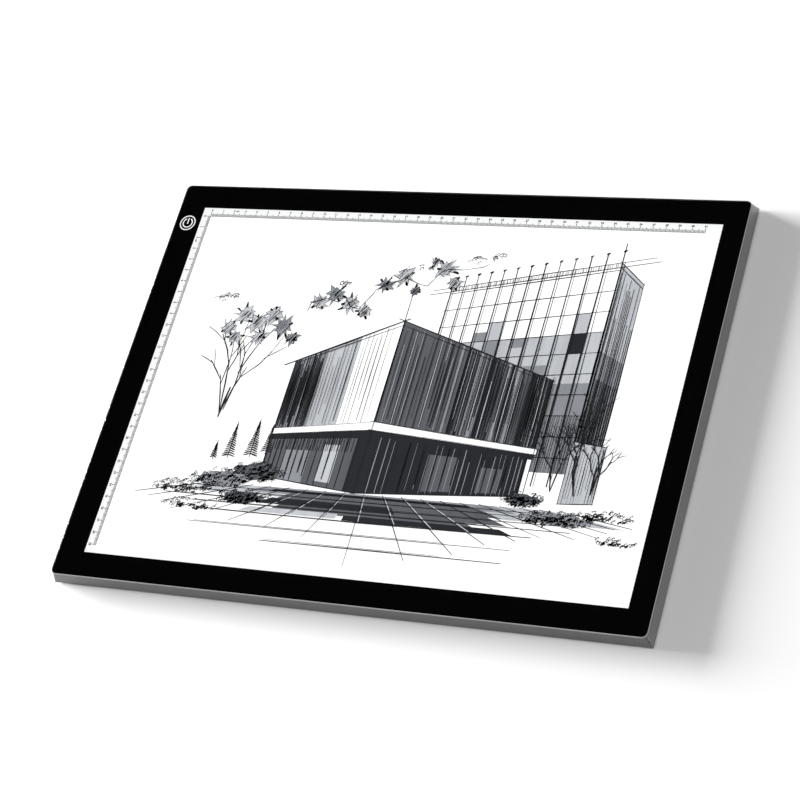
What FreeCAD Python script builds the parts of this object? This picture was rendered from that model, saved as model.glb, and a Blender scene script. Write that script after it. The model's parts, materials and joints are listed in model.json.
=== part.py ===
import FreeCAD, Part
import math
import os

# Flat LED light box for tracing on A3 paper.
# Millimetres. The box lies flat: +Z is up out of the lit face, +X is to the right along the long side,
# +Y is away from the user. The origin is at the centre of the underside of the feet.
# "Inset" below is a distance inward from the front panel's outer edge.

os.makedirs("parts", exist_ok=True)

# Front panel and lit window
PANEL_LENGTH = 470.0
PANEL_WIDTH = 345.0
PANEL_THICKNESS = 2.0
PANEL_CORNER_RADIUS = 4.5
PANEL_EDGE_CHAMFER = 0.4
WINDOW_LENGTH = 430.0
WINDOW_WIDTH = 304.5
BORDER_LEFT = 21.5
BORDER_REAR = 19.7

# Layers from the underside up
FOOT_HEIGHT = 1.5
PLATE_THICKNESS = 1.0
FOAM_THICKNESS = 1.0
REFLECTOR_THICKNESS = 0.3
GUIDE_THICKNESS = 5.0
DIFFUSER_THICKNESS = 1.3
FILM_THICKNESS = 0.3
GASKET_THICKNESS = 1.5
TAPE_THICKNESS = 0.4
INK_THICKNESS = 0.1

PLATE_BOTTOM = FOOT_HEIGHT
FOAM_BOTTOM = PLATE_BOTTOM + PLATE_THICKNESS
REFLECTOR_BOTTOM = FOAM_BOTTOM + FOAM_THICKNESS
GUIDE_BOTTOM = REFLECTOR_BOTTOM + REFLECTOR_THICKNESS
DIFFUSER_BOTTOM = GUIDE_BOTTOM + GUIDE_THICKNESS
FILM_BOTTOM = DIFFUSER_BOTTOM + DIFFUSER_THICKNESS
GASKET_BOTTOM = FILM_BOTTOM + FILM_THICKNESS
INK_BOTTOM = GASKET_BOTTOM + GASKET_THICKNESS
PANEL_BOTTOM = INK_BOTTOM + INK_THICKNESS
TAPE_BOTTOM = INK_BOTTOM - TAPE_THICKNESS

# Frame rails: a wall that leans outward to the rear, a top flange and a lower flange
RAIL_FLARE = 1.5
RAIL_REAR_CORNER_RADIUS = 0.6
RAIL_WALL = 2.0
RAIL_LIP = 1.2
TOP_FLANGE_WIDTH = 6.0
LOWER_FLANGE_WIDTH = 8.0
PLATE_REBATE = 1.0
MITRE_GAP = 0.12

# Optical stack
GUIDE_INSET = 4.2
GUIDE_INSET_RIGHT = 4.5
GUIDE_INSET_LEFT = 19.5
GUIDE_NOTCH = 12.0
FILM_INSET = 6.3
SHEET_INSET = 8.3
EDGE_TAPE_THICKNESS = 0.2
GASKET_WINDOW_MARGIN = 2.0
GASKET_STRIP_LEFT = 17.2

# Light strips
LED_BOARD_THICKNESS = 0.8
LED_BOARD_HEIGHT = 5.8
LED_BOARD_LEFT = -219.5
LED_BOARD_RIGHT = 217.5
LED_PITCH = 10.0
LED_COUNT = 43
LED_LENGTH = 3.5
LED_HEIGHT = 2.8
LED_DEPTH = 0.7

# Printed marks
RULER_OFFSET = 7.7
RULER_TOP_LENGTH = 410
RULER_LEFT_LENGTH = 290
RULER_LINE = 0.2
TICK_LINE = 0.45
TICK_MM = 2.2
TICK_HALF_CM = 3.0
TICK_CM = 4.0
ICON_INSET_LEFT = 10.5
ICON_INSET_REAR = 34.3
ICON_LINE = 0.95
ICON_RING_RADIUS = 6.4
ICON_ARC_RADIUS = 4.0
ICON_ARC_GAP = 31.0
ICON_BAR_TOP = 4.7
ICON_BAR_BOTTOM = -1.0
ICON_CLEARANCE = 0.02

# Control board in the wide left border
BOARD_INSET = 2.6
BOARD_WIDTH = 14.4
BOARD_FRONT = 96.0
BOARD_REAR = 152.0
BOARD_THICKNESS = 1.2
SPRING_RADIUS = 3.0
SPRING_WIRE = 0.5
SPRING_TURNS = 5
CONNECTOR_INSET = 13.6
CONNECTOR_MARGIN = 0.6
CONNECTOR_LENGTH = 5.0
CONNECTOR_DEPTH = 3.4
CONNECTOR_HEIGHT = 2.8
LEAD_DIAMETER = 1.0
LEAD_PITCH = 2.0
LEAD_BEND = 3.0
RED_LEAD_END = 8.2
BLACK_LEAD_END = 6.0

# Components on the board: each spot is an inset from the left edge and a Y
CHIP_SPOT = (12.4, 126.5)
CHIP_LEG_PITCH = 1.27
INDUCTOR_SPOT = (14.0, 107.0)
CAPACITOR_SPOTS = [(6.2, 131.5), (9.4, 131.5), (6.2, 124.0)]
RESISTOR_SPOTS = [(16.0, 133.0), (16.0, 129.6), (16.0, 126.2), (16.0, 122.8), (6.2, 127.8)]

# Power socket for a 3.5 mm barrel plug with a 1.3 mm centre pin
SOCKET_Y = 116.0
SOCKET_LENGTH = 9.5
SOCKET_WIDTH = 6.4
SOCKET_HEIGHT = 4.6
SOCKET_BORE_RADIUS = 1.8
SOCKET_COLLAR_WALL = 0.8
SOCKET_HOLE_CLEARANCE = 0.1
SOCKET_END_WALL = 1.5
SOCKET_FACE_INSET = -0.3
SOCKET_BODY_INSET = RAIL_WALL + 0.1
SOCKET_PIN_RADIUS = 0.65
SOCKET_PIN_SETBACK = 1.2
SOCKET_PIN_CHAMFER = 0.25

# Fasteners and feet
SCREW_RADIUS = 1.0
SCREW_HOLE_RADIUS = 1.06
SCREW_HEAD_RADIUS = 1.9
SCREW_HEAD_HEIGHT = 1.2
SCREW_INSET = 5.0
SCREW_TIP_GAP = 0.1
RECESS_LENGTH = 2.2
RECESS_WIDTH = 0.6
LONG_SIDE_SCREWS = [-195.0, -65.0, 65.0, 195.0]
SHORT_SIDE_SCREWS = [-125.0, 0.0, 125.0]
BRACKET_INSET = 2.2
BRACKET_LEG = 13.0
BRACKET_WIDTH = 5.8
BRACKET_THICKNESS = 1.2
BRACKET_SCREW_INSET = 11.5
CORNERS = [("front_left", -1, -1), ("front_right", 1, -1), ("rear_left", -1, 1), ("rear_right", 1, 1)]
FOOT_RADIUS = 7.0
FOOT_CHAMFER = 0.3
FOOT_XS = [-200.0, 0.0, 200.0]
FOOT_YS = [-140.0, 140.0]

HALF_LENGTH = PANEL_LENGTH / 2
HALF_WIDTH = PANEL_WIDTH / 2
WINDOW_LEFT = -HALF_LENGTH + BORDER_LEFT
WINDOW_RIGHT = WINDOW_LEFT + WINDOW_LENGTH
WINDOW_REAR = HALF_WIDTH - BORDER_REAR
WINDOW_FRONT = WINDOW_REAR - WINDOW_WIDTH
BOARD_BOTTOM = GUIDE_BOTTOM
BOARD_TOP = BOARD_BOTTOM + BOARD_THICKNESS
SOCKET_BORE_END = SOCKET_BODY_INSET + SOCKET_LENGTH - SOCKET_END_WALL
ICON_X = -HALF_LENGTH + ICON_INSET_LEFT
ICON_Y = HALF_WIDTH - ICON_INSET_REAR

EAST = FreeCAD.Vector(1, 0, 0)
UP = FreeCAD.Vector(0, 0, 1)


def save(node, shape):
    shape.exportStep("parts/" + node + ".step")


def box(x0, x1, y0, y1, z0, z1):
    return Part.makeBox(x1 - x0, y1 - y0, z1 - z0, FreeCAD.Vector(x0, y0, z0))


def cylinder(x, y, z0, z1, radius):
    return Part.makeCylinder(radius, z1 - z0, FreeCAD.Vector(x, y, z0), UP)


def rounded_wire(half_x, half_y, radius, z):
    """A rectangle with round corners, centred on the Z axis."""
    edges = []
    for turn in range(4):
        angle = turn * math.pi / 2
        sign_x = 1 if turn in (0, 3) else -1
        sign_y = 1 if turn in (0, 1) else -1
        centre = FreeCAD.Vector(sign_x * (half_x - radius), sign_y * (half_y - radius), z)
        points = []
        for step in (0.0, 0.5, 1.0):
            heading = angle + step * math.pi / 2
            points.append(centre + FreeCAD.Vector(math.cos(heading), math.sin(heading), 0) * radius)
        if edges:
            edges.append(Part.LineSegment(edges[-1].Vertexes[-1].Point, points[0]).toShape())
        edges.append(Part.Arc(*points).toShape())
    edges.append(Part.LineSegment(edges[-1].Vertexes[-1].Point, edges[0].Vertexes[0].Point).toShape())
    return Part.Wire(edges)


def rounded_slab(inset, z0, z1, radius):
    """A slab with the panel's outline moved inward by inset."""
    wire = rounded_wire(HALF_LENGTH - inset, HALF_WIDTH - inset, radius, z0)
    return Part.Face(wire).extrude(UP * (z1 - z0))


def inset_slab(inset, z0, z1, left=None, right=None):
    """A square-cornered slab inset from the panel's outline, with its own inset at the left or right."""
    inset_left = inset if left is None else left
    inset_right = inset if right is None else right
    x0 = -HALF_LENGTH + inset_left
    x1 = HALF_LENGTH - inset_right
    return box(x0, x1, -HALF_WIDTH + inset, HALF_WIDTH - inset, z0, z1)


def window_slab(margin, z0, z1):
    x0 = WINDOW_LEFT - margin
    x1 = WINDOW_RIGHT + margin
    return box(x0, x1, WINDOW_FRONT - margin, WINDOW_REAR + margin, z0, z1)


def cut_all(shape, tools):
    return shape.cut(Part.makeCompound(tools))


def bent_tube(points, radius, bend):
    """A round tube along straight runs joined by tangent arcs."""
    edges = []
    start = points[0]
    for before, corner, after in zip(points, points[1:], points[2:]):
        back = (before - corner).normalize()
        ahead = (after - corner).normalize()
        half_angle = back.getAngle(ahead) / 2
        reach = bend / math.tan(half_angle)
        first = corner + back * reach
        last = corner + ahead * reach
        centre_line = (back + ahead).normalize()
        centre = corner + centre_line * (bend / math.sin(half_angle))
        middle = centre - centre_line * bend
        edges.append(Part.LineSegment(start, first).toShape())
        edges.append(Part.Arc(first, middle, last).toShape())
        start = last
    edges.append(Part.LineSegment(start, points[-1]).toShape())
    path = Part.Wire(edges)
    section = Part.Wire(Part.makeCircle(radius, points[0], points[1] - points[0]))
    tube = path.makePipeShell([section], True, False)
    area = math.pi * radius ** 2
    print("tube volume", round(tube.Volume, 3), "section times length", round(area * path.Length, 3))
    return tube


# Printed layer under the front panel

def ring_sector(radius, line, gap_angle):
    """A flat ring open at the top by gap_angle each side, in the printed layer."""
    outer = cylinder(ICON_X, ICON_Y, INK_BOTTOM, PANEL_BOTTOM, radius + line / 2)
    ring = outer.cut(cylinder(ICON_X, ICON_Y, INK_BOTTOM, PANEL_BOTTOM, radius - line / 2))
    if gap_angle == 0:
        return ring
    reach = 2 * radius
    half_gap = math.radians(gap_angle)
    corners = [FreeCAD.Vector(ICON_X, ICON_Y, INK_BOTTOM)]
    for side in (-1, 1):
        offset = FreeCAD.Vector(side * reach * math.sin(half_gap), reach * math.cos(half_gap), 0)
        corners.append(corners[0] + offset)
    corners.append(corners[0])
    wedge = Part.Face(Part.makePolygon(corners)).extrude(UP * INK_THICKNESS)
    ring = ring.cut(wedge)
    for side in (-1, 1):
        end_x = ICON_X + side * radius * math.sin(half_gap)
        end_y = ICON_Y + radius * math.cos(half_gap)
        ring = ring.fuse(cylinder(end_x, end_y, INK_BOTTOM, PANEL_BOTTOM, line / 2))
    return ring.removeSplitter()


def icon_bar(line):
    half = line / 2
    bottom = ICON_Y + ICON_BAR_BOTTOM + ICON_LINE / 2
    top = ICON_Y + ICON_BAR_TOP - ICON_LINE / 2
    bar = box(ICON_X - half, ICON_X + half, bottom, top, INK_BOTTOM, PANEL_BOTTOM)
    for end_y in (bottom, top):
        bar = bar.fuse(cylinder(ICON_X, end_y, INK_BOTTOM, PANEL_BOTTOM, half))
    return bar.removeSplitter()


def icon_marks(grow):
    line = ICON_LINE + 2 * grow
    return [
        ring_sector(ICON_RING_RADIUS, line, 0),
        ring_sector(ICON_ARC_RADIUS, line, ICON_ARC_GAP),
        icon_bar(line),
    ]


def border_mask():
    mask = rounded_slab(0, INK_BOTTOM, PANEL_BOTTOM, PANEL_CORNER_RADIUS)
    return cut_all(mask, [window_slab(0, INK_BOTTOM, PANEL_BOTTOM)] + icon_marks(ICON_CLEARANCE))


def tick_length(millimetre):
    if millimetre % 10 == 0:
        return TICK_CM
    if millimetre % 5 == 0:
        return TICK_HALF_CM
    return TICK_MM


def ruler_scale(length):
    """A comb along +X from the origin: its teeth point to +Y and its back lies on Y = 0."""
    half_tick = TICK_LINE / 2
    points = [(-half_tick, -RULER_LINE), (length + half_tick, -RULER_LINE)]
    for millimetre in range(length, -1, -1):
        tip = tick_length(millimetre)
        points.append((millimetre + half_tick, 0))
        points.append((millimetre + half_tick, tip))
        points.append((millimetre - half_tick, tip))
        points.append((millimetre - half_tick, 0))
    points.append(points[0])
    outline = Part.makePolygon([FreeCAD.Vector(x, y, 0) for x, y in points])
    return Part.Face(outline).extrude(UP * INK_THICKNESS)


def ruler_scale_top():
    ruler = ruler_scale(RULER_TOP_LENGTH)
    ruler.translate(FreeCAD.Vector(WINDOW_LEFT + RULER_OFFSET, WINDOW_REAR - RULER_OFFSET, INK_BOTTOM))
    return ruler


def ruler_scale_left():
    """The left scale runs towards the user with its ticks outward, so it is mirrored and turned.

    The top scale keeps the corner where the two meet.
    """
    ruler = ruler_scale(RULER_LEFT_LENGTH)
    ruler = ruler.mirror(FreeCAD.Vector(0, 0, 0), FreeCAD.Vector(0, 1, 0))
    ruler.rotate(FreeCAD.Vector(0, 0, 0), UP, -90)
    x = WINDOW_LEFT + RULER_OFFSET
    y = WINDOW_REAR - RULER_OFFSET
    ruler.translate(FreeCAD.Vector(x, y, INK_BOTTOM))
    tick = TICK_LINE / 2
    shared_corner = box(x - tick, x + RULER_LINE, y - RULER_LINE, y + tick, INK_BOTTOM, PANEL_BOTTOM)
    return ruler.cut(shared_corner)


def front_panel():
    panel = rounded_slab(0, PANEL_BOTTOM, PANEL_BOTTOM + PANEL_THICKNESS, PANEL_CORNER_RADIUS)
    top = PANEL_BOTTOM + PANEL_THICKNESS
    rim = [edge for edge in panel.Edges if min(vertex.Z for vertex in edge.Vertexes) > top - 0.01]
    return panel.makeChamfer(PANEL_EDGE_CHAMFER, rim)


# Frame

def frame_section():
    """The four rails in one piece, before the mitres are cut."""
    rear_x = HALF_LENGTH + RAIL_FLARE
    rear_y = HALF_WIDTH + RAIL_FLARE
    rear_wire = rounded_wire(rear_x, rear_y, RAIL_REAR_CORNER_RADIUS, PLATE_BOTTOM)
    front_wire = rounded_wire(HALF_LENGTH, HALF_WIDTH, PANEL_CORNER_RADIUS, INK_BOTTOM)
    outside = Part.makeLoft([rear_wire, front_wire], True, True)
    hollows = [
        inset_slab(PLATE_REBATE, PLATE_BOTTOM, FOAM_BOTTOM),
        inset_slab(LOWER_FLANGE_WIDTH, FOAM_BOTTOM, GUIDE_BOTTOM),
        inset_slab(RAIL_WALL, GUIDE_BOTTOM, FILM_BOTTOM),
        inset_slab(TOP_FLANGE_WIDTH, FILM_BOTTOM, TAPE_BOTTOM),
        rounded_slab(RAIL_LIP, TAPE_BOTTOM, INK_BOTTOM, PANEL_CORNER_RADIUS - RAIL_LIP),
    ]
    return cut_all(outside, hollows)


def mitre_wedge(side):
    """The region of one rail: a trapezium whose ends run at 45 degrees through the frame's corners."""
    half_x = HALF_LENGTH + RAIL_FLARE
    half_y = HALF_WIDTH + RAIL_FLARE
    depth = 2 * LOWER_FLANGE_WIDTH
    gap = MITRE_GAP * math.sqrt(2)
    overshoot = 1.0
    if side in ("front", "rear"):
        sign = 1 if side == "rear" else -1
        outer = half_x + overshoot - gap
        inner = half_x - depth - gap
        points = [(-outer, sign * (half_y + overshoot)), (outer, sign * (half_y + overshoot)),
                  (inner, sign * (half_y - depth)), (-inner, sign * (half_y - depth))]
    else:
        sign = 1 if side == "right" else -1
        outer = half_y + overshoot - gap
        inner = half_y - depth - gap
        points = [(sign * (half_x + overshoot), -outer), (sign * (half_x + overshoot), outer),
                  (sign * (half_x - depth), inner), (sign * (half_x - depth), -inner)]
    corners = [FreeCAD.Vector(x, y, 0) for x, y in points + points[:1]]
    return Part.Face(Part.makePolygon(corners)).extrude(UP * PANEL_BOTTOM)


def rear_screw_places():
    """Centres of the countersunk screws that hold the rear plate to the lower flanges."""
    long_y = HALF_WIDTH - SCREW_INSET
    short_x = HALF_LENGTH - SCREW_INSET
    places = [(x, side * long_y) for side in (-1, 1) for x in LONG_SIDE_SCREWS]
    places += [(side * short_x, y) for side in (-1, 1) for y in SHORT_SIDE_SCREWS]
    return places


def bracket_screw_places(sign_x, sign_y):
    far_x = sign_x * (HALF_LENGTH - BRACKET_SCREW_INSET)
    near_x = sign_x * (HALF_LENGTH - SCREW_INSET)
    far_y = sign_y * (HALF_WIDTH - BRACKET_SCREW_INSET)
    near_y = sign_y * (HALF_WIDTH - SCREW_INSET)
    return [(far_x, near_y), (near_x, far_y)]


def board_screw_places():
    return [(-HALF_LENGTH + SCREW_INSET, y) for y in (BOARD_FRONT + 4.0, BOARD_REAR - 4.0)]


def flange_holes():
    places = rear_screw_places() + board_screw_places()
    for _, sign_x, sign_y in CORNERS:
        places += bracket_screw_places(sign_x, sign_y)
    return [cylinder(x, y, FOAM_BOTTOM, GUIDE_BOTTOM, SCREW_HOLE_RADIUS) for x, y in places]


def socket_axis_cylinder(inset0, inset1, radius):
    """A cylinder on the power socket's axis, between two insets from the left edge."""
    start = FreeCAD.Vector(-HALF_LENGTH + inset0, SOCKET_Y, BOARD_TOP + SOCKET_HEIGHT / 2)
    return Part.makeCylinder(radius, inset1 - inset0, start, EAST)


def make_rails():
    frame = cut_all(frame_section(), flange_holes())
    hole_radius = SOCKET_BORE_RADIUS + SOCKET_COLLAR_WALL + SOCKET_HOLE_CLEARANCE
    frame = frame.cut(socket_axis_cylinder(-2 * RAIL_FLARE, RAIL_WALL, hole_radius))
    for side in ("front", "rear", "left", "right"):
        save("rail_" + side, frame.common(mitre_wedge(side)))


def corner_bracket(sign_x, sign_y):
    """A flat steel angle that joins two rails at the mitre."""
    legs = []
    for leg_x, leg_y in ((BRACKET_LEG, BRACKET_WIDTH), (BRACKET_WIDTH, BRACKET_LEG)):
        corner_x = HALF_LENGTH - BRACKET_INSET
        corner_y = HALF_WIDTH - BRACKET_INSET
        xs = sorted((sign_x * corner_x, sign_x * (corner_x - leg_x)))
        ys = sorted((sign_y * corner_y, sign_y * (corner_y - leg_y)))
        legs.append(box(xs[0], xs[1], ys[0], ys[1], GUIDE_BOTTOM, GUIDE_BOTTOM + BRACKET_THICKNESS))
    plate = legs[0].fuse(legs[1]).removeSplitter()
    holes = [cylinder(x, y, GUIDE_BOTTOM, GUIDE_BOTTOM + BRACKET_THICKNESS, SCREW_HOLE_RADIUS)
             for x, y in bracket_screw_places(sign_x, sign_y)]
    return cut_all(plate, holes)


# Fasteners

def cross_recess(x, y, z0, z1):
    long_half = RECESS_LENGTH / 2
    narrow_half = RECESS_WIDTH / 2
    first = box(x - long_half, x + long_half, y - narrow_half, y + narrow_half, z0, z1)
    second = box(x - narrow_half, x + narrow_half, y - long_half, y + long_half, z0, z1)
    return first.fuse(second)


def pan_screw(x, y, seat, tip):
    """A screw driven from above: its head sits on seat and its shank reaches down to tip."""
    head_top = seat + SCREW_HEAD_HEIGHT
    head = cylinder(x, y, seat, head_top, SCREW_HEAD_RADIUS)
    rim = [edge for edge in head.Edges if edge.BoundBox.ZMin > head_top - 0.01]
    head = head.makeFillet(SCREW_HEAD_HEIGHT / 2, rim)
    screw = head.fuse(cylinder(x, y, tip, seat, SCREW_RADIUS))
    return screw.cut(cross_recess(x, y, seat + SCREW_HEAD_HEIGHT / 2, head_top))


def countersunk_cone(x, y, grow):
    return Part.makeCone(SCREW_HEAD_RADIUS + grow, SCREW_RADIUS + grow, PLATE_THICKNESS,
                         FreeCAD.Vector(x, y, PLATE_BOTTOM), UP)


def countersunk_screw(x, y):
    """A screw driven from below, flush with the rear plate."""
    screw = countersunk_cone(x, y, 0)
    screw = screw.fuse(cylinder(x, y, FOAM_BOTTOM, GUIDE_BOTTOM - SCREW_TIP_GAP, SCREW_RADIUS))
    return screw.cut(cross_recess(x, y, PLATE_BOTTOM, PLATE_BOTTOM + PLATE_THICKNESS / 2))


def rear_plate():
    edge_inset = PLATE_REBATE + 0.2
    plate = rounded_slab(edge_inset, PLATE_BOTTOM, FOAM_BOTTOM, RAIL_REAR_CORNER_RADIUS)
    clearance = SCREW_HOLE_RADIUS - SCREW_RADIUS
    return cut_all(plate, [countersunk_cone(x, y, clearance) for x, y in rear_screw_places()])


def foot(x, y):
    pad = cylinder(x, y, 0, FOOT_HEIGHT, FOOT_RADIUS)
    rim = [edge for edge in pad.Edges if edge.BoundBox.ZMax < 0.01]
    return pad.makeChamfer(FOOT_CHAMFER, rim)


# Optical stack

def light_guide():
    guide = inset_slab(GUIDE_INSET, GUIDE_BOTTOM, DIFFUSER_BOTTOM, GUIDE_INSET_LEFT, GUIDE_INSET_RIGHT)
    corner_x = HALF_LENGTH - GUIDE_INSET_RIGHT
    corner_y = HALF_WIDTH - GUIDE_INSET
    notches = []
    for side in (-1, 1):
        ys = sorted((side * corner_y, side * (corner_y - GUIDE_NOTCH)))
        notches.append(box(corner_x - GUIDE_NOTCH, corner_x, ys[0], ys[1], GUIDE_BOTTOM, DIFFUSER_BOTTOM))
    return cut_all(guide, notches)


def edge_reflector_left():
    edge = -HALF_LENGTH + GUIDE_INSET_LEFT
    half = HALF_WIDTH - GUIDE_INSET
    return box(edge - EDGE_TAPE_THICKNESS, edge, -half, half, GUIDE_BOTTOM, DIFFUSER_BOTTOM)


def edge_reflector_right():
    edge = HALF_LENGTH - GUIDE_INSET_RIGHT
    half = HALF_WIDTH - GUIDE_INSET - GUIDE_NOTCH
    return box(edge, edge + EDGE_TAPE_THICKNESS, -half, half, GUIDE_BOTTOM, DIFFUSER_BOTTOM)


def diffuser_plate():
    return inset_slab(GUIDE_INSET, DIFFUSER_BOTTOM, FILM_BOTTOM, GUIDE_INSET_LEFT, GUIDE_INSET_RIGHT)


def diffuser_film():
    return inset_slab(FILM_INSET, FILM_BOTTOM, GASKET_BOTTOM, GUIDE_INSET_LEFT)


def spacer_gasket():
    ring = inset_slab(FILM_INSET, GASKET_BOTTOM, INK_BOTTOM, GASKET_STRIP_LEFT)
    return ring.cut(window_slab(GASKET_WINDOW_MARGIN, GASKET_BOTTOM, INK_BOTTOM))


def bonding_tape():
    edge_gap = 0.1
    outer_inset = RAIL_LIP + edge_gap
    inner_inset = TOP_FLANGE_WIDTH - edge_gap
    ring = rounded_slab(outer_inset, TAPE_BOTTOM, INK_BOTTOM, PANEL_CORNER_RADIUS - outer_inset)
    return ring.cut(inset_slab(inner_inset, TAPE_BOTTOM, INK_BOTTOM))


# Light strips

def led_board(side):
    """The strip stands on edge against the wall of the front or rear rail, with side -1 or 1."""
    outer = side * (HALF_WIDTH - RAIL_WALL)
    ys = sorted((outer, outer - side * LED_BOARD_THICKNESS))
    bottom = GUIDE_BOTTOM + 0.1
    return box(LED_BOARD_LEFT, LED_BOARD_RIGHT, ys[0], ys[1], bottom, bottom + LED_BOARD_HEIGHT)


def led_chips(side):
    face = side * (HALF_WIDTH - RAIL_WALL - LED_BOARD_THICKNESS)
    ys = sorted((face, face - side * LED_DEPTH))
    middle = GUIDE_BOTTOM + GUIDE_THICKNESS / 2
    chips = []
    for index in range(LED_COUNT):
        x = (index - (LED_COUNT - 1) / 2) * LED_PITCH
        chips.append(box(x - LED_LENGTH / 2, x + LED_LENGTH / 2, ys[0], ys[1],
                         middle - LED_HEIGHT / 2, middle + LED_HEIGHT / 2))
    return Part.makeCompound(chips)


# Control board

def control_board():
    left = -HALF_LENGTH + BOARD_INSET
    board = box(left, left + BOARD_WIDTH, BOARD_FRONT, BOARD_REAR, BOARD_BOTTOM, BOARD_TOP)
    holes = [cylinder(x, y, BOARD_BOTTOM, BOARD_TOP, SCREW_HOLE_RADIUS) for x, y in board_screw_places()]
    return cut_all(board, holes)


def board_pad():
    left = -HALF_LENGTH + LOWER_FLANGE_WIDTH + 1.0
    right = -HALF_LENGTH + BOARD_INSET + BOARD_WIDTH - 1.0
    return box(left, right, BOARD_FRONT + 2.0, BOARD_REAR - 2.0, FOAM_BOTTOM, BOARD_BOTTOM)


def on_board(inset, y, length_x, length_y, height):
    """A component centred at an inset from the left edge, standing on the board."""
    corner = FreeCAD.Vector(-HALF_LENGTH + inset - length_x / 2, y - length_y / 2, BOARD_TOP)
    return Part.makeBox(length_x, length_y, height, corner)


def driver_chip():
    """A small eight-pin package with its legs."""
    chip_inset, chip_y = CHIP_SPOT
    body = on_board(chip_inset, chip_y, 3.9, 4.9, 1.5)
    for index in range(4):
        leg_y = chip_y + (index - 1.5) * CHIP_LEG_PITCH
        for leg_side in (-1, 1):
            body = body.fuse(on_board(chip_inset + leg_side * 2.5, leg_y, 1.1, 0.4, 0.4))
    return body.removeSplitter()


def inductor():
    inset, y = INDUCTOR_SPOT
    base = on_board(inset, y, 5.0, 5.0, 0.6)
    winding = cylinder(-HALF_LENGTH + inset, y, BOARD_TOP, BOARD_TOP + 2.8, 2.2)
    return base.fuse(winding).removeSplitter()


def chip_capacitors():
    return Part.makeCompound([on_board(inset, y, 1.6, 2.6, 1.2) for inset, y in CAPACITOR_SPOTS])


def chip_resistors():
    return Part.makeCompound([on_board(inset, y, 1.0, 1.8, 0.5) for inset, y in RESISTOR_SPOTS])


def lead_connectors():
    """A two-pin housing at each end of the board."""
    reach = CONNECTOR_MARGIN + CONNECTOR_DEPTH / 2
    housings = []
    for y in (BOARD_FRONT + reach, BOARD_REAR - reach):
        housings.append(on_board(CONNECTOR_INSET, y, CONNECTOR_LENGTH, CONNECTOR_DEPTH, CONNECTOR_HEIGHT))
    return Part.makeCompound(housings)


def touch_spring():
    """A coil that stands on the board and presses on the underside of the printed mask."""
    height = INK_BOTTOM - BOARD_TOP - SPRING_WIRE
    base = BOARD_TOP + SPRING_WIRE / 2
    helix = Part.makeHelix(height / SPRING_TURNS, height, SPRING_RADIUS)
    start = FreeCAD.Vector(SPRING_RADIUS, 0, 0)
    section = Part.Wire(Part.makeCircle(SPRING_WIRE / 2, start, FreeCAD.Vector(0, 1, 0)))
    coil = Part.Wire(helix.Edges).makePipeShell([section], True, True)
    coil.translate(FreeCAD.Vector(ICON_X, ICON_Y, base))
    return coil


def strip_lead(side, pin, end_height):
    """A wire from the board's connector to the near end of a light strip, down on the rear plate between."""
    pin_x = -HALF_LENGTH + CONNECTOR_INSET + pin * LEAD_PITCH / 2
    start_y = BOARD_REAR - CONNECTOR_MARGIN if side > 0 else BOARD_FRONT + CONNECTOR_MARGIN
    start_z = BOARD_TOP + CONNECTOR_HEIGHT / 2
    end_x = LED_BOARD_LEFT + 1.8
    end_y = side * (HALF_WIDTH - RAIL_WALL - LED_BOARD_THICKNESS)
    points = [FreeCAD.Vector(pin_x, start_y, start_z)]
    if side > 0:
        points.append(FreeCAD.Vector(pin_x, start_y + 5.0, start_z))
        points.append(FreeCAD.Vector(end_x, end_y - 6.0, end_height))
    else:
        floor_z = FOAM_BOTTOM + LEAD_DIAMETER / 2
        points.append(FreeCAD.Vector(pin_x, start_y - 6.0, start_z))
        points.append(FreeCAD.Vector(pin_x, start_y - 20.0, floor_z))
        points.append(FreeCAD.Vector(pin_x, end_y + 26.0, floor_z))
        points.append(FreeCAD.Vector(end_x, end_y + 7.0, end_height))
    points.append(FreeCAD.Vector(end_x, end_y, end_height))
    return bent_tube(points, LEAD_DIAMETER / 2, LEAD_BEND)


# Power socket

def dc_socket_body():
    left = -HALF_LENGTH + SOCKET_BODY_INSET
    half_width = SOCKET_WIDTH / 2
    body = box(left, left + SOCKET_LENGTH, SOCKET_Y - half_width, SOCKET_Y + half_width,
               BOARD_TOP, BOARD_TOP + SOCKET_HEIGHT)
    collar_radius = SOCKET_BORE_RADIUS + SOCKET_COLLAR_WALL
    collar = socket_axis_cylinder(SOCKET_FACE_INSET, SOCKET_BODY_INSET, collar_radius)
    return body.fuse(collar).cut(socket_axis_cylinder(SOCKET_FACE_INSET, SOCKET_BORE_END, SOCKET_BORE_RADIUS))


def dc_socket_pin():
    """The centre pin stands on the end wall of the bore."""
    pin_start = SOCKET_FACE_INSET + SOCKET_PIN_SETBACK
    pin = socket_axis_cylinder(pin_start, SOCKET_BORE_END, SOCKET_PIN_RADIUS)
    tip = [edge for edge in pin.Edges if edge.BoundBox.XMax < -HALF_LENGTH + pin_start + 0.01]
    return pin.makeChamfer(SOCKET_PIN_CHAMFER, tip)


def make_panel_nodes():
    save("front_panel", front_panel())
    save("border_mask", border_mask())
    save("ruler_scale_top", ruler_scale_top())
    save("ruler_scale_left", ruler_scale_left())
    save("power_icon", Part.makeCompound(icon_marks(0)))
    save("bonding_tape", bonding_tape())
    save("spacer_gasket", spacer_gasket())


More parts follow.
